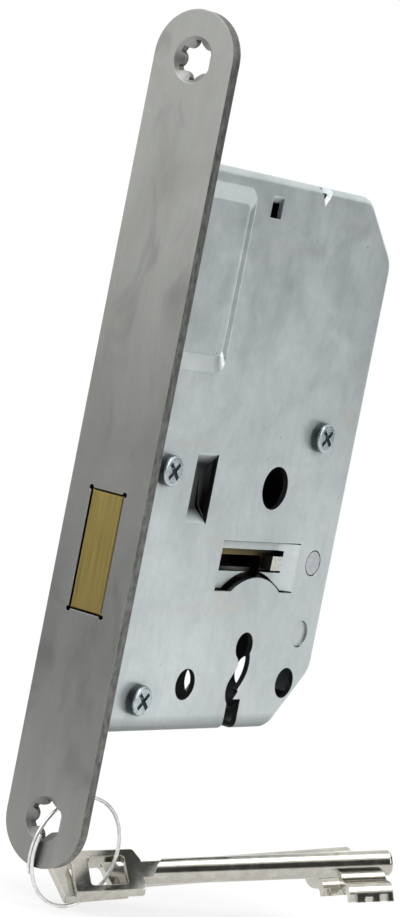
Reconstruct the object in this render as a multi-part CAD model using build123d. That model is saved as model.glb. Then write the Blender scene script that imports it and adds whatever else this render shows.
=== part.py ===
from build123d import *
import math
import os

# Mortice lock for a cupboard door, 50 mm backset, with two lever keys on a wire ring.
# X runs across the forend, +X is the cover side. Y runs into the door. Z runs up the forend.
# The origin is the centre of the forend's front face. All lengths are in millimetres.

# Driving sizes
forend_length = 174.0
forend_width = 19.2
forend_thickness = 2.5
screw_edge = 10.0
backset = 50.0
case_height = 116.2
case_thickness = 12.0
case_back = 78.0
case_sheet = 1.2
key_axis_z = -40.0
rosette_pitch = 37.0
rosette_edge = 10.0
rosette_hole_radius = 3.35
bolt_height = 24.4
bolt_thickness = 8.0
bolt_centre_z = -22.2
bolt_throw = 15.0
lever_count = 4
lever_drop = 5.0
key_reach = 12.0

# Clearances
fit_gap = 0.05
slide_gap = 0.15
running_gap = 0.3
overrun = 1.0

# Places that follow from the driving sizes
screw_pitch = forend_length - 2 * screw_edge
low_screw_z = -screw_pitch / 2
half_case = case_thickness / 2
half_height = case_height / 2
cover_inside = half_case - case_sheet
base_inside = -cover_inside
case_front = forend_thickness
key_axis_y = backset
rosette_centre_y = case_back - rosette_edge - rosette_pitch / 2


def side_sketch(sketch, x_from, x_to):
    """Extrude a sketch drawn in Y and Z between two places on X."""
    return extrude(Plane.YZ.offset(x_from) * sketch, amount=x_to - x_from)


def front_sketch(sketch, y_from, y_to):
    """Extrude a sketch drawn in X and Z between two places on Y."""
    plane = Plane(origin=(0, y_to, 0), x_dir=(1, 0, 0), z_dir=(0, -1, 0))
    return extrude(plane * sketch, amount=y_to - y_from)


def top_sketch(sketch, z_from, z_to):
    """Extrude a sketch drawn in X and Y between two places on Z."""
    return extrude(Plane.XY.offset(z_from) * sketch, amount=z_to - z_from)


def pin(place, radius, x_from, x_to):
    """A round bar along X at a (y, z) place."""
    return side_sketch(Pos(*place) * Circle(radius), x_from, x_to)


def wall_box(y_from, y_to, z_from, z_to):
    """A rectangle in Y and Z from its four sides."""
    width = y_to - y_from
    height = z_to - z_from
    return Pos(y_from + width / 2, z_from + height / 2) * Rectangle(width, height)


# Forend
star_tip_radius = 4.0
star_tooth_radius = 1.75
star_tooth_count = 6
star_inner_radius = 2.9
screw_seat_radius = 4.65
screw_seat_depth = 1.7
bolt_slot_gap = 0.2
slot_relief_radius = 0.55


def star_hole():
    """Six rounded teeth stand into the screw hole."""
    teeth = PolarLocations(star_inner_radius + star_tooth_radius, star_tooth_count)
    return Circle(star_tip_radius) - teeth * Circle(star_tooth_radius)


def screw_seat():
    """The dished seat of a forend screw, about its own centre on the front face."""
    low_end = (Align.CENTER, Align.CENTER, Align.MIN)
    cone = Cone(screw_seat_radius, star_inner_radius, screw_seat_depth, align=low_end)
    return Rot(X=-90) * cone


def bolt_slot(gap):
    slot_width = bolt_thickness + 2 * gap
    slot_height = bolt_height + 2 * gap
    corners = GridLocations(slot_width, slot_height, 2, 2)
    return Pos(0, bolt_centre_z) * (Rectangle(slot_width, slot_height) + corners * Circle(slot_relief_radius))


def make_forend():
    blank = SlotOverall(forend_length, forend_width, rotation=90) - bolt_slot(bolt_slot_gap)
    plate = front_sketch(blank, 0, forend_thickness)
    for side in (-1, 1):
        z = side * screw_pitch / 2
        plate -= front_sketch(Pos(0, z) * star_hole(), -overrun, forend_thickness + overrun)
        plate -= Pos(0, 0, z) * screw_seat()
    return plate


# Case outline, shared by the cover and the base
case_chamfer = 12.6
case_corner_radius = 6.0


def case_outline(inset, front):
    """The side outline of the case, drawn in from its outside by the inset."""
    back = case_back - inset
    top = half_height - inset
    cut = case_chamfer - inset + inset * math.tan(math.radians(45) / 2)
    points = [
        (front, -top),
        (back - cut, -top),
        (back, -top + cut),
        (back, top - cut),
        (back - cut, top),
        (front, top),
    ]
    face = make_face(Polyline(*points, close=True))
    behind = face.vertices().filter_by(lambda v: v.X > front + overrun)
    return fillet(behind, case_corner_radius - inset)


# Key profile, shared by the keyholes and the key bits
shank_radius = 2.65
bit_thickness = 2.2
keyhole_radius = 3.05
keyhole_gap = 1.0
bit_wave_shares = [(0, 0.12), (0.085, 0.36), (0.01, 0.55), (-0.125, 0.74), (-0.03, 0.96)]
keyhole_slot_width = 4.8


def bit_section(width):
    """The waved section of the bit below the key axis, drawn about the axis."""
    points = [(side * key_reach, -down * key_reach) for side, down in bit_wave_shares]
    return trace(Spline(*points), line_width=width)


def keyhole(tail_depth):
    """The hole for the shank and the bit, with a straight slot below it."""
    hole = Circle(keyhole_radius) + bit_section(bit_thickness + 2 * keyhole_gap)
    if tail_depth > 0:
        top = -key_reach * bit_wave_shares[-1][1]
        half_slot = keyhole_slot_width / 2
        hole += wall_box(-half_slot, half_slot, -tail_depth, top)
    return Pos(key_axis_y, key_axis_z) * hole


# Places on the side of the case, as (y, z), the rear ones measured from the back of the case
rear_screw_edge = 15.5
post_edge = 8.0
stop_edge = 7.8
case_screw_places = [(9.6, -3.7), (case_back - rear_screw_edge, 6.0), (14.5, -51.0)]
rosette_z = -48.1
cross_hole_place = (49.7, -5.8)
cross_hole_radius = 4.65
post_place = (case_back - post_edge, -21.5)
stop_place = (case_back - stop_edge, -37.2)

# Case screws and the pillars that they enter
screw_radius = 1.95
screw_head_radius = 3.2
screw_head_height = 2.2
screw_head_rim = 0.6
screw_depth = 7.0
screw_cross_width = 1.0
screw_cross_length = 4.4
screw_cross_depth = 1.3
pillar_radius = 3.2
spigot_radius = 1.6

# Lever post and stop
post_radius = 2.6
post_ring_gap = 0.25
collar_radius = 3.6
stop_radius = 2.5
dimple_radius = 3.0
dimple_depth = 0.5


def rosette_holes():
    holes = [Pos(rosette_centre_y + side * rosette_pitch / 2, rosette_z) * Circle(rosette_hole_radius) for side in (-1, 1)]
    return holes[0] + holes[1]


# Cover: a pressed tray with a latch panel, a guide strap and a slotted tongue
bend_radius = 1.8
panel_depth = 0.8
panel_rear = 22.0
panel_low = 20.2
panel_high = 51.4
panel_corner = 1.5
panel_rear_ramp = 0.7
panel_low_ramp = 3.6
panel_high_ramp = 3.4
panel_ramp_corner = 3.2
strap_front = 19.7
strap_rear = 27.0
strap_low = -14.3
strap_high = 0.3
strap_depth = 2.4
strap_ramp = 3.4
strap_bend = 0.8
strap_side_gap = 0.15
strap_tear = [(24.7, -4.6), (27.0, -14.2), (25.2, -11.4)]
tongue_length = 29.0
tongue_ramp = 5.8
tongue_post_web = 6.2
tongue_rear = post_place[0] - tongue_post_web
tongue_fold = tongue_rear - tongue_ramp
tongue_front = tongue_rear - tongue_length
tongue_low = -28.2
tongue_high = -17.4
tongue_depth = 1.8
tongue_arc_radius = 14.9
tongue_edge_gap = 0.25
tongue_arc_gap = 1.1
tongue_slot_low = -24.2
tongue_slot_high = -19.4
lug_hole_front = 28.2
lug_hole_rear = 32.2
lug_hole_low = 49.7
lug_hole_high = 52.8
lug_ramp_rise = 1.4
notch_edge = 30.6
notch_centre = case_back - notch_edge
notch_half = 3.2
notch_depth = 3.8
notch_inside = 2.5
lug_width = 7.0
lug_depth = 5.0
lug_below_face = 0.5
bottom_notch_inside = 4.0

# Bolt
bolt_edge = 0.4
bolt_strap_gap = 0.7
bolt_head_rear = strap_front - bolt_strap_gap
bolt_block_high = -17.6
tail_post_web = 4.0
tail_rear = post_place[0] - tail_post_web
tail_high = -14.5
tail_thickness = 2.0
tail_gap = 0.2
talon_width = 5.2
tail_window_length = 15.4
tail_window_low = -25.6
tail_window_high = -20.9
talon_radius = 1.0
stump_length = 4.0
stump_height = 3.1
stump_fold_gap = 0.6
stump_y = tongue_fold - stump_fold_gap
stump_z = -22.1
stump_sunk = 0.9
stump_slot_spare = 3.0
stump_end_spare = 0.35
tail_top_x = cover_inside - tongue_depth - tail_gap
tail_low_x = tail_top_x - tail_thickness
talon_reach = math.sqrt(key_reach**2 - (bolt_throw / 2) ** 2)
tail_low = key_axis_z + talon_reach - running_gap
talon_high = key_axis_z + key_reach + running_gap
talon_y = key_axis_y + bolt_throw / 2
tongue_slot_front = stump_y - bolt_throw - stump_length / 2 - stump_slot_spare
tongue_slot_rear = stump_y + stump_length / 2 + stump_end_spare
tail_window_rear = stump_y - stump_length / 2 - overrun
lever_nose_reach = 3.9
lever_nose = stump_y - bolt_throw - lever_nose_reach
bolt_block_gap = 8.5
bolt_block_rear = lever_nose - bolt_block_gap


def grown(y_to, z_from, z_to, corner):
    """A rectangle that starts ahead of the cover's front edge, with its rear corners rounded."""
    outline = wall_box(case_front - 2 * overrun, y_to, z_from, z_to)
    return fillet(outline.vertices().filter_by(lambda v: v.X > case_front), corner)


def tray():
    """The plain tray: a flat side with walls all round, open at the front and at the base."""
    outer = side_sketch(case_outline(0, case_front), base_inside, half_case)
    rim = outer.faces().sort_by(Axis.X)[-1].edges()
    outer = fillet(rim.filter_by(lambda e: e.center().Y > case_front + overrun), bend_radius)
    inner_outline = case_outline(case_sheet, case_front - overrun)
    inner = side_sketch(inner_outline, base_inside - overrun, cover_inside)
    rim = inner.faces().sort_by(Axis.X)[-1].edges()
    rim = rim.filter_by(lambda e: e.center().Y > case_front)
    return outer - fillet(rim, bend_radius - case_sheet)


def latch_panel():
    """The shallow recess from the front edge, as the metal added inside and the metal cut outside."""
    floor = grown(panel_rear, panel_low, panel_high, panel_corner)
    brim = grown(
        panel_rear + panel_rear_ramp,
        panel_low - panel_low_ramp,
        panel_high + panel_high_ramp,
        panel_ramp_corner,
    )
    sheets = []
    for top in (cover_inside, half_case):
        faces = [Plane.YZ.offset(top - panel_depth) * floor, Plane.YZ.offset(top) * brim]
        sheets.append(loft(Sketch() + faces))
    added, cut = sheets
    ahead = side_sketch(wall_box(case_front - 3 * overrun, case_front, -half_height, half_height), -half_case, half_case)
    return added - ahead, cut


def strap():
    """A bridge of sheet pressed inward between two ramps."""
    low = half_case - strap_depth
    outer = [
        (half_case, strap_high),
        (low, strap_high - strap_ramp),
        (low, strap_low + strap_ramp),
        (half_case, strap_low),
    ]
    inner = [(x - case_sheet, z) for x, z in reversed(outer)]
    face = make_face(Polyline(*outer, *inner, close=True))
    bends = face.vertices().filter_by(lambda v: strap_low + overrun < v.Y < strap_high - overrun)
    face = fillet(bends, strap_bend)
    bridge = front_sketch(face, strap_front + strap_side_gap, strap_rear - strap_side_gap)
    tear = make_face(Polyline(*strap_tear, close=True))
    return bridge - side_sketch(tear, -half_case, half_case)


def tongue():
    """A slotted floor under the window that bends back to the side at its rear."""
    floor = half_case - tongue_depth
    front = tongue_front + tongue_edge_gap
    profile = Polyline(
        (floor, front),
        (floor, tongue_fold),
        (half_case, tongue_rear),
        (cover_inside, tongue_rear),
        (floor - case_sheet, tongue_fold),
        (floor - case_sheet, front),
        close=True,
    )
    leaf = top_sketch(make_face(profile), tongue_low + tongue_edge_gap, tongue_high - tongue_edge_gap)
    leaf -= pin((key_axis_y, key_axis_z), tongue_arc_radius + tongue_arc_gap, -half_case, half_case + overrun)
    slot = wall_box(tongue_slot_front, tongue_slot_rear, tongue_slot_low, tongue_slot_high)
    return leaf - side_sketch(slot, -half_case, half_case + overrun)


def make_cover():
    cover = tray()
    added, cut = latch_panel()
    cover = cover + added - cut
    through = wall_box(strap_front, strap_rear, strap_low, strap_high)
    window = wall_box(tongue_front, tongue_rear, tongue_low, tongue_high)
    window -= Pos(key_axis_y, key_axis_z) * Circle(tongue_arc_radius)
    through += window
    through += wall_box(lug_hole_front, lug_hole_rear, lug_hole_low, lug_hole_high)
    through += rosette_holes()
    through += Pos(*cross_hole_place) * Circle(cross_hole_radius)
    through += Pos(*post_place) * Circle(post_radius + post_ring_gap)
    for place in case_screw_places:
        through += Pos(*place) * Circle(screw_radius + 2 * slide_gap)
    through += keyhole(half_height + key_axis_z + bend_radius)
    top_notch = Pos(notch_centre, half_height) * make_face(
        Polyline((-notch_half, overrun), (notch_half, overrun), (0, -notch_depth), close=True)
    )
    low_inside = cover_inside - tongue_depth - case_sheet
    cover -= side_sketch(through, low_inside, half_case + overrun)
    cover -= side_sketch(top_notch, notch_inside, half_case + overrun)
    half_slot = keyhole_slot_width / 2
    low_notch = wall_box(key_axis_y - half_slot, key_axis_y + half_slot, -half_height - overrun, -half_height + 2 * case_sheet)
    cover -= side_sketch(low_notch, bottom_notch_inside - case_sheet, half_case + overrun)
    lug_ramp = make_face(
        Polyline(
            (half_case, lug_hole_high + lug_ramp_rise),
            (half_case, lug_hole_high),
            (cover_inside, lug_hole_high),
            close=True,
        )
    )
    cover -= front_sketch(lug_ramp, lug_hole_front, lug_hole_rear)
    cover += strap() + tongue()
    dimple_top = cover_inside - dimple_depth
    cover += pin(stop_place, dimple_radius, dimple_top, cover_inside + fit_gap)
    cover -= pin(stop_place, dimple_radius, half_case - dimple_depth, half_case + overrun)
    return cover


def make_base():
    """The flat side with the flange that the forend is welded to."""
    holes = rosette_holes() + keyhole(0) + Pos(*cross_hole_place) * Circle(cross_hole_radius)
    holes += Pos(*post_place) * Circle(post_radius + fit_gap)
    holes += Pos(*stop_place) * Circle(stop_radius + fit_gap)
    for place in case_screw_places:
        holes += Pos(*place) * Circle(spigot_radius + fit_gap)
    base = side_sketch(case_outline(0, case_front) - holes, -half_case, base_inside)
    top = half_height - case_sheet - slide_gap
    flange = wall_box(case_front, case_front + case_sheet, -top, top)
    flange = side_sketch(flange, -half_case, cover_inside - panel_depth - fit_gap)
    slot = front_sketch(bolt_slot(running_gap), case_front - overrun, case_front + case_sheet + overrun)
    return base + (flange - slot) + top_lug()


def top_lug():
    """A tab bent up from the base that closes the cover's top notch from behind."""
    high = half_height - case_sheet - slide_gap
    front = notch_centre - lug_width / 2
    rear = notch_centre + lug_width / 2
    top = cover_inside - lug_below_face
    leg = side_sketch(wall_box(front, rear, high - case_sheet, high), base_inside, top)
    return leg + side_sketch(wall_box(front, rear, high - lug_depth, high), top - case_sheet, top)


def make_pillars():
    pillars = []
    for place in case_screw_places:
        pillar = pin(place, pillar_radius, base_inside, cover_inside)
        pillar += pin(place, spigot_radius, -half_case, base_inside)
        bore_end = half_case - screw_depth - overrun
        pillars.append(pillar - pin(place, screw_radius + fit_gap, bore_end, half_case))
    return pillars


def make_case_screws():
    """Pan head screws with a cross recess."""
    screws = []
    for place in case_screw_places:
        top = half_case + screw_head_height
        head = pin(place, screw_head_radius, half_case, top)
        head = fillet(head.faces().sort_by(Axis.X)[-1].edges(), screw_head_rim)
        for turn in (45, 135):
            slot = Pos(*place) * Rot(Z=turn) * Rectangle(screw_cross_length, screw_cross_width)
            head -= side_sketch(slot, top - screw_cross_depth, top + overrun)
        screws.append(head + pin(place, screw_radius, half_case - screw_depth, half_case))
    return screws


def make_bolt():
    """The head that shows in the forend and the thin tail that the key drives."""
    half_thick = bolt_thickness / 2
    low = bolt_centre_z - bolt_height / 2
    high = bolt_centre_z + bolt_height / 2
    head = side_sketch(wall_box(0, bolt_head_rear, low, high), -half_thick, half_thick)
    head = chamfer(head.faces().sort_by(Axis.Y)[0].edges(), bolt_edge)
    block = wall_box(bolt_edge, bolt_block_rear, low, bolt_block_high)
    bolt = head + side_sketch(block, -half_thick, half_thick)
    tail = wall_box(bolt_block_rear - overrun, tail_rear, tail_low, tail_high)
    talon = wall_box(talon_y - talon_width / 2, talon_y + talon_width / 2, tail_low - 2 * talon_radius, talon_high)
    tail -= fillet(talon.vertices(), talon_radius)
    tail -= stump_outline(fit_gap)
    window_front = tail_window_rear - tail_window_length
    window = wall_box(window_front, tail_window_rear, tail_window_low, tail_window_high)
    tail -= fillet(window.vertices(), talon_radius)
    return bolt + side_sketch(tail, tail_low_x, tail_top_x)


def stump_outline(gap):
    half_length = stump_length / 2 + gap
    half_tall = stump_height / 2 + gap
    return wall_box(stump_y - half_length, stump_y + half_length, stump_z - half_tall, stump_z + half_tall)


def make_stump():
    """The square peg in the bolt's tail, which the lever gates pass."""
    return side_sketch(stump_outline(0), lever_low_x, half_case - stump_sunk)


# Levers
lever_thickness = 1.0
lever_pitch = 1.15
lever_high = -15.8
lever_low = -30.2
lever_corner = 1.5
lever_boss_radius = 5.6
belly_radii = [11.0, 10.4, 11.4, 10.7]
gate_gap = 0.3
pocket_gap = 0.35
arm_width = 2.9
arm_low = -39.0
lever_top_x = tail_low_x - slide_gap
lever_low_x = lever_top_x - lever_thickness - (lever_count - 1) * lever_pitch
arm_sway = math.sin(math.radians(lever_drop)) * (post_place[1] - stop_place[1])
arm_rear = stop_place[0] - stop_radius - arm_sway - slide_gap
stump_rests = [stump_y - bolt_throw, stump_y]

# Lever springs
spring_strip = 0.4
spring_width = 0.8
spring_root_offset = -2.8
spring_root_depth = 2.6
spring_knee_shares = [(0.3, 0.4), (1.0, 0.75)]
spring_tip_rise = 1.6


def lever_gate():
    """The path of the stump: a straight gate with a pocket at each end."""
    half_tall = stump_height / 2 + gate_gap
    half_length = stump_length / 2 + pocket_gap
    low = stump_z - half_tall
    gate = wall_box(stump_rests[0] - half_length, stump_rests[1] + half_length, low, stump_z + half_tall)
    for rest in stump_rests:
        drop = math.sin(math.radians(lever_drop)) * (post_place[0] - rest + half_length)
        gate += wall_box(rest - half_length, rest + half_length, low, stump_z + half_tall + drop)
    return gate


def make_lever(index):
    body = wall_box(lever_nose, post_place[0], lever_low, lever_high)
    body = fillet(body.vertices().filter_by(lambda v: v.X < lever_nose + lever_corner), lever_corner)
    body -= Pos(key_axis_y, key_axis_z) * Circle(belly_radii[index])
    body += wall_box(arm_rear - arm_width, arm_rear, arm_low, post_place[1])
    body -= wall_box(arm_rear, post_place[0] + overrun, lever_low - overrun, post_place[1])
    body += Pos(*post_place) * Circle(lever_boss_radius)
    body -= Pos(*post_place) * Circle(post_radius + slide_gap)
    body -= lever_gate()
    root_y = post_place[0] + spring_root_offset
    top = post_place[1] + lever_boss_radius
    half_slot = spring_strip / 2 + fit_gap
    body -= wall_box(root_y - half_slot, root_y + half_slot, top - spring_root_depth - overrun, top + overrun)
    high = lever_top_x - index * lever_pitch
    return side_sketch(body, high - lever_thickness, high)


def make_lever_spring(index):
    """A flat strip staked in the lever that leans on the rear pillar."""
    pillar_y, pillar_z = case_screw_places[1]
    root_y = post_place[0] + spring_root_offset
    root_z = post_place[1] + lever_boss_radius - spring_root_depth
    tip_y = pillar_y - pillar_radius - slide_gap - spring_strip / 2
    tip_z = pillar_z + spring_tip_rise
    knees = [
        (root_y + (tip_y - root_y) * across, root_z + (tip_z - root_z) * up)
        for across, up in spring_knee_shares
    ]
    straight = (root_y, root_z + spring_root_depth)
    line = FilletPolyline((root_y, root_z), straight, *knees, (tip_y, tip_z), radius=2 * spring_strip)
    middle = lever_top_x - index * lever_pitch - lever_thickness / 2
    return side_sketch(trace(line, line_width=spring_strip), middle - spring_width / 2, middle + spring_width / 2)


def make_post():
    """The pivot of the levers, riveted in the base and located in the cover."""
    collar = pin(post_place, collar_radius, base_inside, lever_low_x - slide_gap)
    return collar + pin(post_place, post_radius, -half_case, half_case - fit_gap)


def make_collar():
    """The distance ring that keeps the levers down on their post."""
    low = lever_top_x + slide_gap
    ring = pin(post_place, collar_radius, low, cover_inside - fit_gap)
    return ring - pin(post_place, post_radius + fit_gap, low - overrun, half_case)


def make_stop():
    return pin(stop_place, stop_radius, -half_case, cover_inside - dimple_depth - fit_gap)


# Wire ring through the lower forend hole
ring_radius = 11.55
wire_radius = 0.4
ring_overlap_turns = 0.12
ring_wire_pitch = 0.88
ring_hang = 6.8
ring_centre = (1.89, 10.18, low_screw_z - ring_hang)
ring_axis_shares = (0.9793, -0.1902, -0.0689)
ring_start_shares = (-0.2, -0.89, -0.41)


def make_ring():
    """One turn of wire whose ends lie side by side."""
    turns = 1 + ring_overlap_turns
    rise = ring_wire_pitch * turns
    path = Helix(pitch=ring_wire_pitch, height=rise, radius=ring_radius, lefthand=True)
    section = Plane(origin=path @ 0, z_dir=path % 0) * Circle(wire_radius)
    wire = Pos(0, 0, -rise / 2) * sweep(section, path, is_frenet=True)
    return Plane(origin=ring_centre, x_dir=ring_start_shares, z_dir=ring_axis_shares).location * wire


# Keys, modelled along their own X with the bit down, about the centre of the bow
bow_length = 14.4
bow_height = 12.0
bow_thickness = 1.8
bow_corner = 0.8
bow_shoulder_length = 1.4
bow_shoulder_height = 3.4
bow_window_length = 7.6
bow_window_height = 8.4
neck_high = 2.2
neck_end = 12.6
shank_start = 9.0
shank_end = 59.5
shank_edge = 0.5
shank_bevel = 3.6
bit_start = 48.4
bit_length = 9.2
bit_cut_shares = [(0.0, 0.07), (0.36, 0.03), (0.7, 0.06)]
bit_cut_width_share = 0.16
key_hangs = [11.08, 13.4]
key_centres = [(4.66, 18.74, low_screw_z - key_hangs[0]), (0.45, 18.5, low_screw_z - key_hangs[1])]
key_along_shares = [(0.68, 0.7079, 0.1911), (0.5031, 0.8483, 0.1652)]
key_normal_shares = [(0.2448, -0.4648, 0.8509), (0.275, -0.3383, 0.8999)]


def make_key(index):
    half_thick = bow_thickness / 2
    right = bow_length / 2
    top = bow_height / 2
    bow = make_face(
        Polyline(
            (-right, -top),
            (right, -top),
            (right, top - bow_shoulder_height),
            (right - bow_shoulder_length, top),
            (-right, top),
            close=True,
        )
    )
    bow = fillet(bow.vertices(), bow_corner)
    window = Rectangle(bow_window_length, bow_window_height)
    bow -= fillet(window.vertices(), bow_corner)
    neck = wall_box(right - bow_corner, neck_end, -shank_radius, neck_high)
    key = top_sketch(bow + neck, -half_thick, half_thick)
    shank = side_sketch(Circle(shank_radius), shank_start, shank_end)
    shank = chamfer(shank.faces().sort_by(Axis.X)[-1].edges(), shank_edge)
    bevel = make_face(
        Polyline(
            (shank_start - overrun, -shank_radius),
            (shank_start, -shank_radius),
            (shank_start + shank_bevel, shank_radius + overrun),
            (shank_start - overrun, shank_radius + overrun),
            close=True,
        )
    )
    shank -= top_sketch(bevel, -shank_radius - overrun, shank_radius + overrun)
    plane = Plane(origin=(bit_start, 0, 0), x_dir=(0, 0, -1), z_dir=(1, 0, 0))
    bit = extrude(plane * bit_section(bit_thickness), amount=bit_length)
    for along, depth in bit_cut_shares:
        low = bit_start + along * bit_length
        width = bit_cut_width_share * bit_length
        cut = wall_box(low, low + width, -key_reach - overrun, -key_reach * (1 - depth))
        bit -= top_sketch(cut, -key_reach, key_reach)
    place = Plane(origin=key_centres[index], x_dir=key_along_shares[index], z_dir=key_normal_shares[index])
    return place.location * (key + shank + bit)


def write(node, solids):
    """Write one node, which holds one solid or a group of like solids."""
    shape = Compound(children=solids) if isinstance(solids, list) else solids
    shape.label = node
    export_step(shape, f"parts/{node}.step")


if __name__ == "__main__":
    os.makedirs("parts", exist_ok=True)
    write("forend", make_forend())
    write("case_base", make_base())
    write("case_cover", make_cover())
    write("case_pillars", make_pillars())
    write("case_screws", make_case_screws())
    write("bolt", make_bolt())
    write("bolt_stump", make_stump())
    write("lever_post", make_post())
    write("lever_collar", make_collar())
    write("lever_stop", make_stop())
    for index in range(lever_count):
        write(f"lever_{index + 1}", make_lever(index))
        write(f"lever_spring_{index + 1}", make_lever_spring(index))
    write("key_ring", make_ring())
    for index in range(len(key_centres)):
        write(f"key_{index + 1}", make_key(index))
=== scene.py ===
import bpy
from mathutils import Vector, Matrix


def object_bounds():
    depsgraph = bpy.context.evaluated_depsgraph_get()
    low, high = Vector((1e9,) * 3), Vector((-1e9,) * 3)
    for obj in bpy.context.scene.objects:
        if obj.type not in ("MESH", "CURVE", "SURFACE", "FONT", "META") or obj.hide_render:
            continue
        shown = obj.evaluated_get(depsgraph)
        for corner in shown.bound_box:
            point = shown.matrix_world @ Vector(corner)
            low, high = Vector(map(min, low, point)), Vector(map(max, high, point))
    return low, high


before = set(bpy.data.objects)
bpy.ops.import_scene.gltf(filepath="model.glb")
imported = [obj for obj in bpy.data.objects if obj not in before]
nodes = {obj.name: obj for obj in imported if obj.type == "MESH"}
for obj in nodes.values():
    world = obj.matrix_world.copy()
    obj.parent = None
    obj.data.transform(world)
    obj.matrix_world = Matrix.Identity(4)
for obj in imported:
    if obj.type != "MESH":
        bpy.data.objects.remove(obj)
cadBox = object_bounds()
scene = bpy.context.scene
scene.view_settings.view_transform = "Standard"
print("frame loaded:", len(nodes), "nodes")

plainWhite = (1.0, 1.0, 1.0)
bevelSamples = 4  # of every rounded edge in the shading


# small node helpers, shared by all the finishes

def newMaterial(name, look):
    mat = bpy.data.materials.new(name)
    mat.use_nodes = True
    tree = mat.node_tree
    shader = tree.nodes["Principled BSDF"]
    shader.inputs["Base Color"].default_value = (*look["colour"], 1)
    shader.inputs["Metallic"].default_value = look["metal"]
    shader.inputs["Roughness"].default_value = look["rough"]
    shader.inputs["Anisotropic"].default_value = look.get("brushed", 0)
    mat.diffuse_color = (*look["colour"], 1)
    mat.metallic = look["metal"]
    mat.roughness = look["rough"]
    return mat, tree, shader


def feed(tree, socket, value):
    # links an output, or sets a colour or a number
    if isinstance(value, bpy.types.NodeSocket):
        tree.links.new(value, socket)
    elif isinstance(value, tuple):
        socket.default_value = (*value, 1)
    else:
        socket.default_value = value


def objectSpace(tree, stretch, turn=(0, 0, 0)):
    # metres in the part's own frame, stretched so that grain follows the metal
    place = tree.nodes.new("ShaderNodeTexCoord")
    mapping = tree.nodes.new("ShaderNodeMapping")
    mapping.inputs["Scale"].default_value = stretch
    mapping.inputs["Rotation"].default_value = turn
    tree.links.new(place.outputs["Object"], mapping.inputs["Vector"])
    return mapping.outputs["Vector"]


def noise(tree, stretch, detail, rough=0.55, distortion=0, turn=(0, 0, 0)):
    vector = objectSpace(tree, stretch, turn)
    tex = tree.nodes.new("ShaderNodeTexNoise")
    tex.inputs["Scale"].default_value = 1
    tex.inputs["Detail"].default_value = detail
    tex.inputs["Roughness"].default_value = rough
    tex.inputs["Distortion"].default_value = distortion
    tree.links.new(vector, tex.inputs["Vector"])
    return tex.outputs["Fac"]


def ramp(tree, fac, stops):
    node = tree.nodes.new("ShaderNodeValToRGB")
    while len(node.color_ramp.elements) < len(stops):
        node.color_ramp.elements.new(0.5)
    for element, (place, value) in zip(node.color_ramp.elements, stops):
        element.position = place
        element.color = (*value, 1) if isinstance(value, tuple) else (value, value, value, 1)
    tree.links.new(fac, node.inputs["Fac"])
    return node.outputs["Color"]


def mixed(tree, kind, fac, first, second):
    node = tree.nodes.new("ShaderNodeMix")
    node.data_type = "RGBA"
    node.blend_type = kind
    for number, value in ((0, fac), (6, first), (7, second)):  # factor and the two colours
        feed(tree, node.inputs[number], value)
    return node.outputs[2]


def sums(tree, operation, first, second, third=0):
    node = tree.nodes.new("ShaderNodeMath")
    node.operation = operation
    for socket, value in zip(node.inputs, (first, second, third)):
        feed(tree, socket, value)
    return node.outputs[0]


def edgeMask(tree, reach, low, high):
    # 1 on a narrow band along sharp edges, from how far a rounded normal leaves the true one
    rounded = tree.nodes.new("ShaderNodeBevel")
    rounded.samples = bevelSamples
    rounded.inputs["Radius"].default_value = reach
    geometry = tree.nodes.new("ShaderNodeNewGeometry")
    dot = tree.nodes.new("ShaderNodeVectorMath")
    dot.operation = "DOT_PRODUCT"
    tree.links.new(rounded.outputs["Normal"], dot.inputs[0])
    tree.links.new(geometry.outputs["Normal"], dot.inputs[1])
    return ramp(tree, dot.outputs["Value"], [(low, 1.0), (high, 0.0)])


def paintedEdgeHighlight(tree, tint, rim):
    # painted highlight: metal shows lighter along the sharp edges, where rounded edges would catch
    # the light
    mask = edgeMask(tree, rim["reach"], 0.86, 0.99)
    return mixed(tree, "MIX", sums(tree, "MULTIPLY", mask, rim["share"]), tint, rim["colour"])


def bumped(tree, shader, height, strength, distance, edge=0):
    bump = tree.nodes.new("ShaderNodeBump")
    bump.inputs["Strength"].default_value = strength
    bump.inputs["Distance"].default_value = distance
    tree.links.new(height, bump.inputs["Height"])
    if edge:
        rounded = tree.nodes.new("ShaderNodeBevel")
        rounded.samples = bevelSamples
        rounded.inputs["Radius"].default_value = edge
        tree.links.new(rounded.outputs["Normal"], bump.inputs["Normal"])
    tree.links.new(bump.outputs["Normal"], shader.inputs["Normal"])


def openness(tree, reach, samples, stops):
    # a value that follows how much of the surroundings a point sees
    occlusion = tree.nodes.new("ShaderNodeAmbientOcclusion")
    occlusion.samples = samples
    occlusion.inputs["Distance"].default_value = reach
    return ramp(tree, occlusion.outputs["AO"], stops)


def shaded(tree, tint, reach, dark, clear=0.85):
    # painted shade: what lies deep in a hole or inside the case gets no light to speak of, so its
    # tint is darkened
    shade = openness(tree, reach, 8, [(0.25, dark), (clear, 1.0)])
    return mixed(tree, "MULTIPLY", 1.0, tint, shade)


def splitAxes(tree):
    place = tree.nodes.new("ShaderNodeTexCoord")
    split = tree.nodes.new("ShaderNodeSeparateXYZ")
    tree.links.new(place.outputs["Object"], split.inputs[0])
    return split.outputs


def within(tree, box):
    # 1 inside a box of the part's own frame, 0 outside it
    axes = splitAxes(tree)
    mask = 1
    for axis, near, far in zip(axes, *box):
        inside = sums(tree, "COMPARE", axis, (near + far) / 2, (far - near) / 2)
        mask = sums(tree, "MULTIPLY", inside, mask)
    return mask


def along(tree, axis, stops, near, far):
    # a value or tint that follows one axis of the part's own frame, from near to far
    reach = sums(tree, "SUBTRACT", splitAxes(tree)["XYZ".index(axis)], near)
    return ramp(tree, sums(tree, "DIVIDE", reach, far - near), stops)


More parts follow.
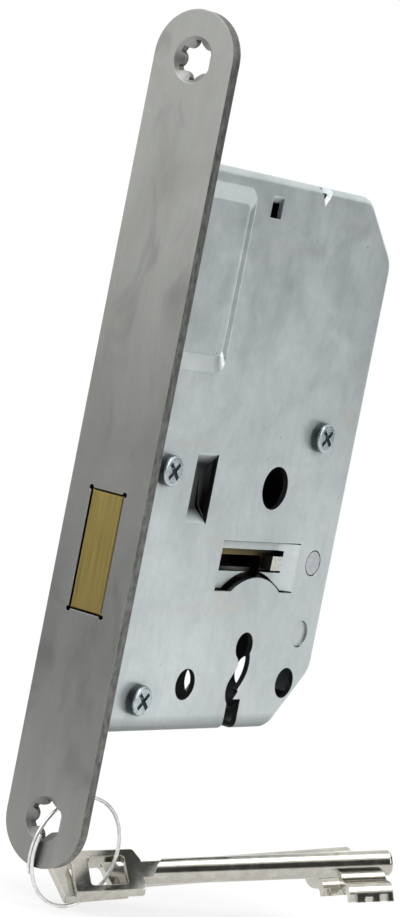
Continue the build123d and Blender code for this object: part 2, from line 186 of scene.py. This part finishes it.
def facing(tree, axis):
    # how far the surface faces along one axis of the part's own frame
    geometry = tree.nodes.new("ShaderNodeNewGeometry")
    split = tree.nodes.new("ShaderNodeSeparateXYZ")
    tree.links.new(geometry.outputs["Normal"], split.inputs[0])
    return split.outputs["XYZ".index(axis)]


def facingEitherWay(tree, axis, stops):
    return ramp(tree, sums(tree, "ABSOLUTE", facing(tree, axis), 0), stops)


# forend: warm grey steel, brushed along its length, with a hazy cross brush over the middle

forendLook = {
    "colour": (0.33, 0.335, 0.325),
    "metal": 0.9,
    "rough": 0.42,
    "brushed": 0.3,
    "tints": [
        (0.28, (0.315, 0.32, 0.298)),
        (0.5, (0.40, 0.407, 0.385)),
        (0.75, (0.475, 0.482, 0.458)),
    ],
    "edgeColour": (0.15, 0.15, 0.143),  # sheared sides, their darker tone painted shade
    "grain": (5200, 5200, 90),
    "crossGrain": (240, 240, 4200),
    "crossTurn": (0, 0.35, 0),
    "haze": (55, 55, 28),
    "smudge": (90, 90, 38),
    "sheared": (2400, 900, 500),
    "paintedReflectionAlongZ": [(0.0, 0.78), (0.28, 0.70), (0.5, 0.82), (0.72, 1.0), (1.0, 0.93)],
    "ends": (-0.087, 0.087),
    "roughness": [(0.2, 0.36), (0.8, 0.5)],
    "holeReach": 0.0025,
}


def forendSteel(look):
    mat, tree, shader = newMaterial("forendSteel", look)
    grain = noise(tree, look["grain"], 3)
    crossGrain = noise(tree, look["crossGrain"], 3, turn=look["crossTurn"])
    haze = noise(tree, look["haze"], 5, 0.6, 0.6)
    smudge = noise(tree, look["smudge"], 3, 0.5, 1.2)
    tint = ramp(tree, haze, look["tints"])
    tint = mixed(tree, "MULTIPLY", 0.7, tint, ramp(tree, grain, [(0.25, 0.86), (0.75, 1.0)]))
    hazy = ramp(tree, haze, [(0.4, 0.0), (0.7, 0.6)])
    crossBrush = ramp(tree, crossGrain, [(0.3, 0.78), (0.7, 1.0)])
    tint = mixed(tree, "MULTIPLY", hazy, tint, crossBrush)
    tint = mixed(tree, "MULTIPLY", 0.8, tint, ramp(tree, smudge, [(0.28, 0.74), (0.42, 1.0)]))
    # painted reflection: the forend is darker in its lower part and brightest above the middle
    tint = mixed(tree, "MULTIPLY", 1.0, tint, along(tree, "Z", look["paintedReflectionAlongZ"], *look["ends"]))
    # painted shade: the sides get a darker tint, over sheared lines that are the edge's own
    sheared = ramp(tree, noise(tree, look["sheared"], 4), [(0.3, 0.55), (0.7, 1.5)])
    sideTint = mixed(tree, "MULTIPLY", 1.0, look["edgeColour"], sheared)
    side = facingEitherWay(tree, "Y", [(0.35, 1.0), (0.75, 0.0)])
    tint = mixed(tree, "MIX", side, tint, sideTint)
    # painted highlight: a little white added along the sharp edges
    rim = sums(tree, "MULTIPLY", edgeMask(tree, 0.00022, 0.90, 0.995), 0.10)
    tint = mixed(tree, "ADD", rim, tint, plainWhite)
    tint = shaded(tree, tint, look["holeReach"], 0.25)
    tree.links.new(tint, shader.inputs["Base Color"])
    tree.links.new(ramp(tree, crossGrain, look["roughness"]), shader.inputs["Roughness"])
    bumped(tree, shader, mixed(tree, "MIX", 0.35, grain, crossGrain), 0.25, 0.00006, 0.00025)
    return mat


# case: pale zinc plate with a soft mottle, faint stains and a few specks; boxes as (low, high)

caseLook = {
    "colour": (0.54, 0.59, 0.595),
    "metal": 0.72,
    "rough": 0.40,
    "brushed": 0.0,
    "tints": [
        (0.25, (0.475, 0.523, 0.529)),
        (0.5, (0.565, 0.616, 0.620)),
        (0.78, (0.65, 0.695, 0.697)),
    ],
    "stain": (0.54, 0.50, 0.43),
    "speck": (0.20, 0.21, 0.22),
    "holePaintedShade": (0.018, 0.018, 0.020),
    "pocketPaintedShade": (0.020, 0.018, 0.020),
    "lugAndNotchPaintedLight": (0.95, 0.95, 0.95),
    "slopePaintedLight": (0.82, 0.86, 0.86),
    "slopeCornerPaintedShade": (0.16, 0.17, 0.17),
    "mottle": (95, 95, 95),
    "cloud": (26, 26, 26),
    "fine": (900, 900, 900),
    "streak": (120, 520, 70),
    "streakTurn": (0.9, 0, 0),
    "stains": (60, 60, 210),
    "specks": (130, 130, 130),
    "rim": {"reach": 0.00035, "share": 0.35, "colour": (0.76, 0.80, 0.80)},
    "pocket": ((0.0010, 0.0195, -0.0146), (0.0057, 0.0272, 0.0006)),
    "cuts": ((-0.0065, 0.0052, -0.052), (0.0061, 0.0714, 0.0450)),
    "slot": ((-0.0065, 0.0470, -0.0577), (0.0061, 0.0530, -0.0500)),
    "notch": ((0.0020, 0.0435, 0.0535), (0.0061, 0.0513, 0.0562)),
    "floor": ((-0.0050, 0.0052, -0.0560), (-0.0046, 0.0760, 0.0560)),
    "lug": ((0.0030, 0.0438, 0.0515), (0.00435, 0.0510, 0.0560)),
    "slope": ((0.00522, 0.0052, 0.0166), (0.00598, 0.0227, 0.0202)),
    "slopeShare": 0.48,
    "fold": (-0.0581, -0.0546),
    "roughness": [(0.2, 0.28), (0.8, 0.42)],
    "holeReach": 0.005,
}


def caseZinc(look):
    mat, tree, shader = newMaterial("caseZinc", look)

    # the plating
    mottle = noise(tree, look["mottle"], 6, 0.62, 0.4)
    cloud = noise(tree, look["cloud"], 3, 0.5)
    fine = noise(tree, look["fine"], 3, 0.6)
    streak = noise(tree, look["streak"], 4, 0.6, turn=look["streakTurn"])
    tint = ramp(tree, mottle, look["tints"])
    tint = mixed(tree, "MULTIPLY", 0.8, tint, ramp(tree, cloud, [(0.3, 0.86), (0.7, 1.0)]))
    tint = mixed(tree, "MULTIPLY", 0.5, tint, ramp(tree, fine, [(0.3, 0.9), (0.7, 1.03)]))
    tint = mixed(tree, "MULTIPLY", 0.5, tint, ramp(tree, streak, [(0.2, 0.86), (0.5, 1.0)]))
    stained = ramp(tree, noise(tree, look["stains"], 3, 0.5), [(0.62, 0.0), (0.78, 1.0)])
    tint = mixed(tree, "MIX", sums(tree, "MULTIPLY", stained, 0.35), tint, look["stain"])
    specks = tree.nodes.new("ShaderNodeTexVoronoi")
    specks.inputs["Scale"].default_value = 1
    specks.inputs["Randomness"].default_value = 1
    tree.links.new(objectSpace(tree, look["specks"]), specks.inputs["Vector"])
    speckMask = ramp(tree, specks.outputs["Distance"], [(0.02, 1.0), (0.05, 0.0)])
    tint = mixed(tree, "MIX", sums(tree, "MULTIPLY", speckMask, 0.7), tint, look["speck"])
    tint = paintedEdgeHighlight(tree, tint, look["rim"])
    # painted shade in the holes and inside the case
    tint = shaded(tree, tint, look["holeReach"], 0.03, 0.7)

    # painted shade on the cut walls of the holes and the slot, and on the inside of the base
    edgewise = facingEitherWay(tree, "X", [(0.3, 0.94), (0.6, 0.0)])
    cuts = sums(tree, "MULTIPLY", within(tree, look["cuts"]), edgewise)
    slot = sums(tree, "MULTIPLY", within(tree, look["slot"]), edgewise)
    inside = sums(tree, "MULTIPLY", within(tree, look["floor"]), 0.93)
    dark = sums(tree, "MAXIMUM", sums(tree, "MAXIMUM", cuts, slot), inside)
    tint = mixed(tree, "MIX", dark, tint, look["holePaintedShade"])

    # painted light on the lower slope of the latch panel, with painted shade at its corner, and
    # painted shade along the fold at the bottom
    slopeLow, slopeHigh = look["slope"]
    slopeStops = [(0.0, look["slopePaintedLight"]), (0.80, look["slopePaintedLight"]), (0.90, look["slopeCornerPaintedShade"])]
    slopeTint = along(tree, "Y", slopeStops, slopeLow[1], slopeHigh[1])
    slope = sums(tree, "MULTIPLY", within(tree, look["slope"]), look["slopeShare"])
    tint = mixed(tree, "MIX", slope, tint, slopeTint)
    # painted shade along the fold at the bottom
    fold = along(tree, "Z", [(0.0, 0.12), (0.4, 0.55), (1.0, 1.0)], *look["fold"])
    tint = mixed(tree, "MULTIPLY", 1.0, tint, fold)

    # painted light: the notch's flanks in the top edge and the base's lug behind it are painted
    # near white, and made matt
    sideways = facingEitherWay(tree, "Y", [(0.3, 0.0), (0.45, 0.9)])
    notch = sums(tree, "MULTIPLY", within(tree, look["notch"]), sideways)
    lug = sums(tree, "MAXIMUM", within(tree, look["lug"]), notch)
    tint = mixed(tree, "MIX", lug, tint, look["lugAndNotchPaintedLight"])
    shiny = sums(tree, "MULTIPLY", sums(tree, "SUBTRACT", 1.0, lug), look["metal"])
    tree.links.new(shiny, shader.inputs["Metallic"])

    # painted shade in the strap's pocket, between its two ramps
    pocketLow, pocketHigh = look["pocket"]
    pocketStops = [(0.04, 0.0), (0.2, 0.9), (0.82, 0.92), (0.97, 0.25)]
    ends = along(tree, "Z", pocketStops, pocketLow[2], pocketHigh[2])
    pocket = sums(tree, "MULTIPLY", within(tree, look["pocket"]), ends)
    tint = mixed(tree, "MIX", pocket, tint, look["pocketPaintedShade"])
    tree.links.new(tint, shader.inputs["Base Color"])
    tree.links.new(ramp(tree, mottle, look["roughness"]), shader.inputs["Roughness"])
    bumped(tree, shader, mixed(tree, "MIX", 0.5, fine, mottle), 0.22, 0.00012, 0.0003)
    return mat


# bolt: brass with fine grinding lines up and down the head, with painted shade on the tail inside
# the case

boltLook = {
    "colour": (0.34, 0.265, 0.085),
    "metal": 0.85,
    "rough": 0.36,
    "brushed": 0.4,
    "tints": [
        (0.25, (0.26, 0.195, 0.055)),
        (0.5, (0.37, 0.285, 0.09)),
        (0.8, (0.48, 0.38, 0.145)),
    ],
    "tailPaintedShade": (0.012, 0.011, 0.008),
    "lines": (3600, 3600, 60),
    "broad": (420, 420, 30),
    "rim": {"reach": 0.00025, "share": 0.4, "colour": (0.70, 0.62, 0.38)},
    "tail": ((0.0, 0.036, -0.031), (0.0035, 0.066, -0.017)),
    "roughness": [(0.2, 0.28), (0.8, 0.44)],
    "holeReach": 0.004,
}


def boltBrass(look):
    mat, tree, shader = newMaterial("boltBrass", look)
    lines = noise(tree, look["lines"], 4, 0.6)
    broad = noise(tree, look["broad"], 3, 0.5)
    tint = ramp(tree, lines, look["tints"])
    tint = mixed(tree, "MULTIPLY", 0.8, tint, ramp(tree, broad, [(0.25, 0.8), (0.7, 1.06)]))
    tint = paintedEdgeHighlight(tree, tint, look["rim"])
    tint = shaded(tree, tint, look["holeReach"], 0.05)
    # painted shade: the tail inside the case is painted near black below a brass strip along its
    # top, more so towards the back
    low, high = look["tail"]
    backward = along(tree, "Y", [(0.0, 0.35), (0.35, 0.7), (0.75, 0.97)], low[1], high[1])
    downward = along(tree, "Z", [(0.68, 0.96), (0.74, 0.0)], low[2], high[2])
    tailShade = sums(tree, "MAXIMUM", backward, downward)
    tailShade = sums(tree, "MULTIPLY", within(tree, look["tail"]), tailShade)
    tint = mixed(tree, "MIX", tailShade, tint, look["tailPaintedShade"])
    tree.links.new(tint, shader.inputs["Base Color"])
    tree.links.new(ramp(tree, lines, look["roughness"]), shader.inputs["Roughness"])
    bumped(tree, shader, lines, 0.3, 0.00005)
    return mat


# screws: blue zinc, bright on the dome, with painted shade round the side and in the recess, which
# is also dull

screwLook = {
    "colour": (0.38, 0.44, 0.46),
    "metal": 0.9,
    "rough": 0.26,
    "tints": [
        (0.3, (0.30, 0.36, 0.38)),
        (0.55, (0.48, 0.55, 0.57)),
        (0.8, (0.66, 0.72, 0.73)),
    ],
    "recessPaintedShade": (0.26, 0.32, 0.33),
    "cloudy": (700, 700, 700),
    "rim": {"reach": 0.0002, "share": 0.35, "colour": (0.80, 0.84, 0.86)},
    "sides": [(0.1, 0.12), (0.85, 1.0)],
    "roughness": [(0.2, 0.2), (0.8, 0.36)],
    "recessReach": 0.0012,
}


def screwZinc(look):
    mat, tree, shader = newMaterial("screwZinc", look)
    cloudy = noise(tree, look["cloudy"], 4, 0.6)
    tint = ramp(tree, cloudy, look["tints"])
    # painted shade round the side of the head; what faces out keeps its tint
    tint = mixed(tree, "MULTIPLY", 1.0, tint, ramp(tree, facing(tree, "X"), look["sides"]))
    # painted shade in the recess, which is also made dull
    deep = openness(tree, look["recessReach"], 6, [(0.25, 1.0), (0.7, 0.0)])
    tint = mixed(tree, "MIX", sums(tree, "MULTIPLY", deep, 0.85), tint, look["recessPaintedShade"])
    tint = paintedEdgeHighlight(tree, tint, look["rim"])
    shiny = sums(tree, "MULTIPLY", sums(tree, "SUBTRACT", 1.0, deep), look["metal"])
    tree.links.new(shiny, shader.inputs["Metallic"])
    tree.links.new(tint, shader.inputs["Base Color"])
    tree.links.new(ramp(tree, cloudy, look["roughness"]), shader.inputs["Roughness"])
    bumped(tree, shader, cloudy, 0.25, 0.00005, 0.0001)
    return mat


# plain steels of the inner works and the ring; a low "sides" paints shade on what faces along the
# case

steelLooks = {
    "stumpSteel": {
        "colour": (0.62, 0.62, 0.58),
        "metal": 0.8,
        "rough": 0.42,
        "grain": (1400, 1400, 1400),
        "sides": 0.15,
    },
    "pinSteel": {
        "colour": (0.50, 0.53, 0.55),
        "metal": 0.8,
        "rough": 0.38,
        "grain": (1400, 1400, 1400),
    },
    "leverSteel": {
        "colour": (0.24, 0.235, 0.21),
        "metal": 0.85,
        "rough": 0.4,
        "grain": (300, 2600, 500),
        "sides": 0.25,
    },
    "springSteel": {
        "colour": (0.24, 0.25, 0.28),
        "metal": 0.9,
        "rough": 0.3,
        "grain": (600, 3000, 600),
    },
    "ringSteel": {
        "colour": (0.80, 0.80, 0.79),
        "metal": 1.0,
        "rough": 0.3,
        "grain": (900, 900, 900),
        "reach": 0.0005,
    },
}
steelRim = {"reach": 0.00018, "share": 0.4, "colour": (0.85, 0.86, 0.86)}


def plainSteel(name, look):
    mat, tree, shader = newMaterial(name, look)
    grain = noise(tree, look["grain"], 4, 0.6)
    low = tuple(0.8 * c for c in look["colour"])
    high = tuple(min(1, 1.16 * c) for c in look["colour"])
    tint = ramp(tree, grain, [(0.3, low), (0.7, high)])
    tint = paintedEdgeHighlight(tree, tint, steelRim)
    tint = shaded(tree, tint, look.get("reach", 0.005), 0.04)
    # painted shade on what faces along the case
    across = facingEitherWay(tree, "X", [(0.1, look.get("sides", 1.0)), (0.85, 1.0)])
    tint = mixed(tree, "MULTIPLY", 1.0, tint, across)
    roughness = [(0.2, look["rough"] - 0.06), (0.8, look["rough"] + 0.1)]
    tree.links.new(tint, shader.inputs["Base Color"])
    tree.links.new(ramp(tree, grain, roughness), shader.inputs["Roughness"])
    bumped(tree, shader, grain, 0.2, 0.00004)
    return mat


# keys: nickel over a cast blank, smooth and bright, darker where the forms meet

keyLook = {
    "colour": (0.56, 0.535, 0.48),
    "metal": 1.0,
    "rough": 0.2,
    "tints": [
        (0.25, (0.46, 0.447, 0.388)),
        (0.55, (0.56, 0.545, 0.485)),
        (0.8, (0.65, 0.635, 0.572)),
    ],
    "creaseTint": (0.20, 0.185, 0.15),
    "cast": (520, 520, 520),
    "cloud": (110, 110, 110),
    "rim": {"reach": 0.0003, "share": 0.55, "colour": (0.88, 0.86, 0.80)},
    "roughness": [(0.2, 0.1), (0.8, 0.22)],
    "creaseReach": 0.002,
}


def keyNickel(look):
    mat, tree, shader = newMaterial("keyNickel", look)
    cast = noise(tree, look["cast"], 5, 0.6, 0.3)
    cloud = noise(tree, look["cloud"], 3, 0.5)
    tint = ramp(tree, cast, look["tints"])
    tint = mixed(tree, "MULTIPLY", 0.7, tint, ramp(tree, cloud, [(0.3, 0.82), (0.7, 1.05)]))
    # darker where the forms meet, by how open each point is
    deep = openness(tree, look["creaseReach"], 6, [(0.25, 1.0), (0.75, 0.0)])
    tint = mixed(tree, "MIX", sums(tree, "MULTIPLY", deep, 0.7), tint, look["creaseTint"])
    tint = paintedEdgeHighlight(tree, tint, look["rim"])
    tree.links.new(tint, shader.inputs["Base Color"])
    tree.links.new(ramp(tree, cast, look["roughness"]), shader.inputs["Roughness"])
    bumped(tree, shader, mixed(tree, "MIX", 0.4, cast, cloud), 0.12, 0.00008, 0.0003)
    return mat


finishes = {
    "forend": forendSteel(forendLook),
    "case": caseZinc(caseLook),
    "bolt": boltBrass(boltLook),
    "screws": screwZinc(screwLook),
    "keys": keyNickel(keyLook),
    **{name: plainSteel(name, look) for name, look in steelLooks.items()},
}
finishOf = {
    "forend": "forend",
    "case_base": "case",
    "case_cover": "case",
    "case_pillars": "pinSteel",
    "case_screws": "screws",
    "bolt": "bolt",
    "bolt_stump": "stumpSteel",
    "lever_post": "pinSteel",
    "lever_collar": "pinSteel",
    "lever_stop": "pinSteel",
    "key_ring": "ringSteel",
    "key_1": "keys",
    "key_2": "keys",
}
for name, piece in nodes.items():
    numbered = "springSteel" if name.startswith("lever_spring") else "leverSteel"
    for slot in piece.material_slots:
        slot.material = finishes[finishOf.get(name, numbered)]
print("finishes set:", len(finishes))


# floor and studio

studio = {
    "floorColour": (0.93, 0.93, 0.93),
    "floorSize": 3.0,
    "floorGap": 0.0002,
    "floorRough": 0.9,
    "glowNear": 0.72,  # how much of the floor's white the shadow's place keeps
    "nearReach": 0.06,
    "farReach": 0.35,
    "ambient": 0.62,
    "ambientColour": (0.98, 0.99, 1.0),
    "lampAim": (0, 0.02, -0.02),
    "cardAim": (0.02, 0.03, 0.0),
}


def whiteToTheEye(tree, surface, background, share=1.0):
    # camera, mirror and glass rays see plain white, all others the lit surface
    path = tree.nodes.new("ShaderNodeLightPath").outputs
    mirrored = sums(tree, "MAXIMUM", path["Is Glossy Ray"], path["Is Transmission Ray"])
    seen = sums(tree, "MAXIMUM", path["Is Camera Ray"], mirrored)
    mix = tree.nodes.new("ShaderNodeMixShader")
    tree.links.new(sums(tree, "MULTIPLY", seen, share), mix.inputs[0])
    tree.links.new(surface, mix.inputs[1])
    tree.links.new(background, mix.inputs[2])
    return mix.outputs[0]


world = bpy.data.worlds.new("studioWorld")
scene.world = world
world.use_nodes = True
tree = world.node_tree
tree.nodes.clear()
lit = tree.nodes.new("ShaderNodeBackground")
lit.inputs["Color"].default_value = (*studio["ambientColour"], 1)
lit.inputs["Strength"].default_value = studio["ambient"]
white = tree.nodes.new("ShaderNodeBackground")
white.inputs["Color"].default_value = (*plainWhite, 1)
white.inputs["Strength"].default_value = 1
output = tree.nodes.new("ShaderNodeOutputWorld")
tree.links.new(whiteToTheEye(tree, lit.outputs[0], white.outputs[0]), output.inputs["Surface"])

low, high = cadBox
floorHeight = min(low[2], high[2]) - studio["floorGap"]
bpy.ops.mesh.primitive_plane_add(size=studio["floorSize"], location=(0, 0, floorHeight))
floor = bpy.context.object
floor.name = "studioFloor"
floorMat = bpy.data.materials.new("paleFloor")
floorMat.use_nodes = True
tree = floorMat.node_tree
shader = tree.nodes["Principled BSDF"]
shader.inputs["Base Color"].default_value = (*studio["floorColour"], 1)
shader.inputs["Roughness"].default_value = studio["floorRough"]
glow = tree.nodes.new("ShaderNodeEmission")
glow.inputs["Strength"].default_value = 1
place = tree.nodes.new("ShaderNodeTexCoord")
reach = tree.nodes.new("ShaderNodeVectorMath")
reach.operation = "LENGTH"
tree.links.new(place.outputs["Object"], reach.inputs[0])
fadeStops = [(studio["nearReach"], studio["glowNear"]), (studio["farReach"], 1.0)]
fade = ramp(tree, reach.outputs["Value"], fadeStops)
seen = whiteToTheEye(tree, shader.outputs[0], glow.outputs[0], fade)
tree.links.new(seen, tree.nodes["Material Output"].inputs["Surface"])
floor.data.materials.append(floorMat)

lamps = [
    {"name": "leftSoftbox", "place": (-0.9, -1.3, 1.1), "size": 1.6, "power": 16},
    {"name": "rightSoftbox", "place": (1.6, 0.2, 0.8), "size": 1.0, "power": 14},
    {"name": "topSoftbox", "place": (0.2, -0.1, 1.8), "size": 1.2, "power": 12},
]
for lamp in lamps:
    data = bpy.data.lights.new(lamp["name"], "AREA")
    data.size = lamp["size"]
    data.energy = lamp["power"]
    box = bpy.data.objects.new(lamp["name"], data)
    scene.collection.objects.link(box)
    box.location = lamp["place"]
    aim = Vector(studio["lampAim"]) - box.location
    box.rotation_euler = aim.to_track_quat("-Z", "Y").to_euler()

# cards that only polished metal sees: they give forend, case and keys their soft dark bands
cards = [
    {"name": "leftMat", "place": (-0.42, -0.52, -0.094), "size": (0.70, 0.80), "shade": 0.05},
    {"name": "keyCard", "place": (0.72, -0.44, 0.32), "size": (1.00, 0.90), "shade": 0.04},
    {"name": "leftCard", "place": (-0.75, -0.90, 0.14), "size": (0.60, 0.40), "shade": 0.70},
    {"name": "backCard", "place": (0.62, 0.90, 0.16), "size": (1.00, 0.46), "shade": 0.15},
]
lyingCards = ["leftMat"]  # the others stand up and face the lock
for card in cards:
    bpy.ops.mesh.primitive_plane_add(size=1, location=card["place"])
    sheet = bpy.context.object
    sheet.name = card["name"]
    sheet.scale = (*card["size"], 1)
    if card["name"] not in lyingCards:
        aim = Vector(studio["cardAim"]) - sheet.location
        sheet.rotation_euler = aim.to_track_quat("Z", "Y").to_euler()
    paper = bpy.data.materials.new(card["name"] + "Paper")
    paper.use_nodes = True
    shader = paper.node_tree.nodes["Principled BSDF"]
    shader.inputs["Base Color"].default_value = (card["shade"],) * 3 + (1,)
    shader.inputs["Roughness"].default_value = 0.9
    sheet.data.materials.append(paper)
    sheet.visible_camera = False
    sheet.visible_diffuse = False
    sheet.visible_shadow = False
print("studio set")


# camera, solved from the photograph's straight edges

view = {
    "place": (0.3620, -0.4885, 0.0461),
    "right": (0.795, 0.574, 0.194),
    "down": (0.202, 0.051, -0.978),
    "lens": 120.6,
    "film": 36.0,
    "near": 0.01,
    "far": 20,
}
cameraData = bpy.data.cameras.new("photoCamera")
camera = bpy.data.objects.new("photoCamera", cameraData)
scene.collection.objects.link(camera)
scene.camera = camera
right = Vector(view["right"]).normalized()
up = -Vector(view["down"])
up = (up - right * up.dot(right)).normalized()
back = right.cross(up)
turned = Matrix((right, up, back)).transposed().to_4x4()
camera.matrix_world = Matrix.Translation(view["place"]) @ turned
cameraData.sensor_fit = "VERTICAL"
cameraData.sensor_height = view["film"]
cameraData.lens = view["lens"]
cameraData.clip_start = view["near"]
cameraData.clip_end = view["far"]
cameraData.dof.use_dof = False
print("camera set")
